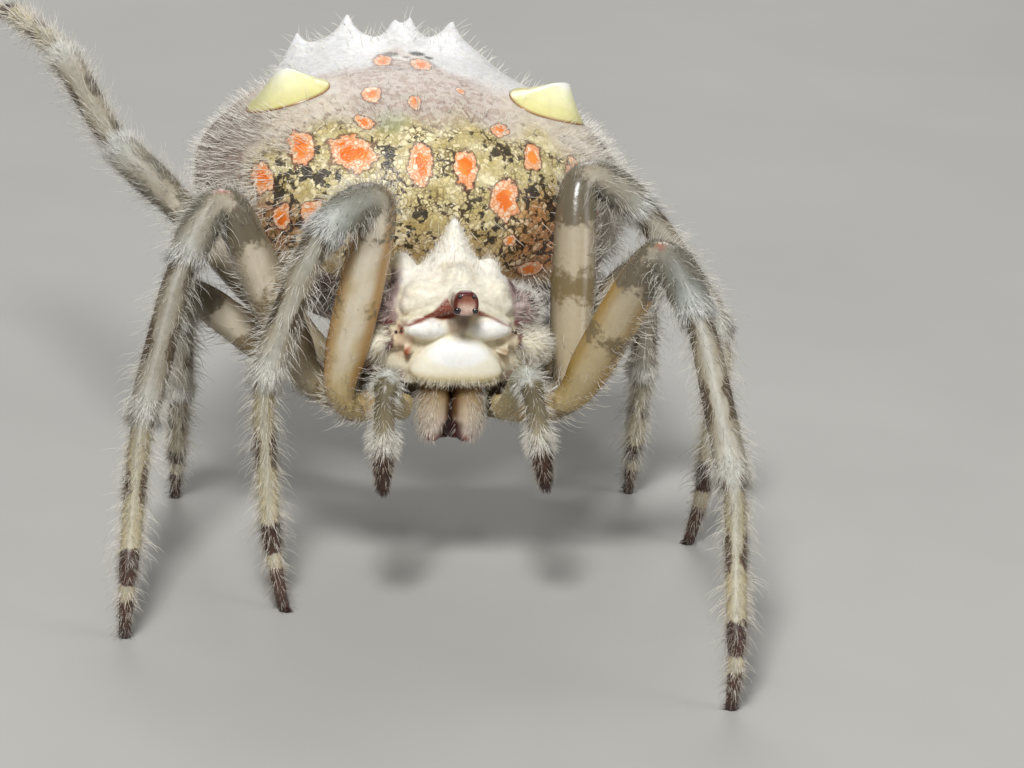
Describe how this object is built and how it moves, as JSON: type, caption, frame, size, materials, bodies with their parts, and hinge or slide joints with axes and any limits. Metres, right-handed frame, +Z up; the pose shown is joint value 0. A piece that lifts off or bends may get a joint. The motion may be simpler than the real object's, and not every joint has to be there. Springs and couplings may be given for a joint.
{
  "type": "spider figure",
  "caption": "Life-size magnificent spider, a female bolas spider, standing on its legs with one hind leg raised.",
  "frame": {"origin": "on the floor, below the middle of the spider's box", "axes": "+Z up, the spider's head faces -Y, its left side is +X"},
  "size_m": [0.0236, 0.0335, 0.0151],
  "materials": {
    "spider_skin": "satin skin in cream, grey and brown patches, with pale hairs and bristles",
    "eye_mound": "glossy red-brown",
    "hump_wax": "waxy pale yellow"
  },
  "bodies": {
    "root": {"prosoma": "spider_skin", "eye_turret": "eye_mound", "abdomen": "spider_skin", "spinnerets": "spider_skin", "chelicera_left": "spider_skin", "chelicera_right": "spider_skin", "palp_left_upper": "spider_skin", "palp_left_lower": "spider_skin", "palp_right_upper": "spider_skin", "palp_right_lower": "spider_skin", "hump_left": "hump_wax", "hump_right": "hump_wax", "leg_left_1_coxa": "spider_skin", "leg_left_1_femur": "spider_skin", "leg_left_1_tibia": "spider_skin", "leg_left_1_foot": "spider_skin", "leg_left_2_coxa": "spider_skin", "leg_left_2_femur": "spider_skin", "leg_left_2_tibia": "spider_skin", "leg_left_2_foot": "spider_skin", "leg_left_3_coxa": "spider_skin", "leg_left_3_femur": "spider_skin", "leg_left_3_tibia": "spider_skin", "leg_left_3_foot": "spider_skin", "leg_left_4_coxa": "spider_skin", "leg_left_4_femur": "spider_skin", "leg_left_4_tibia": "spider_skin", "leg_left_4_foot": "spider_skin", "leg_right_1_coxa": "spider_skin", "leg_right_1_femur": "spider_skin", "leg_right_1_tibia": "spider_skin", "leg_right_1_foot": "spider_skin", "leg_right_2_coxa": "spider_skin", "leg_right_2_femur": "spider_skin", "leg_right_2_tibia": "spider_skin", "leg_right_2_foot": "spider_skin", "leg_right_3_coxa": "spider_skin", "leg_right_3_femur": "spider_skin", "leg_right_3_tibia": "spider_skin", "leg_right_3_foot": "spider_skin", "leg_right_4_coxa": "spider_skin", "leg_right_4_femur": "spider_skin", "leg_right_4_tibia": "spider_skin", "leg_right_4_foot": "spider_skin"}
  },
  "joints": []
}
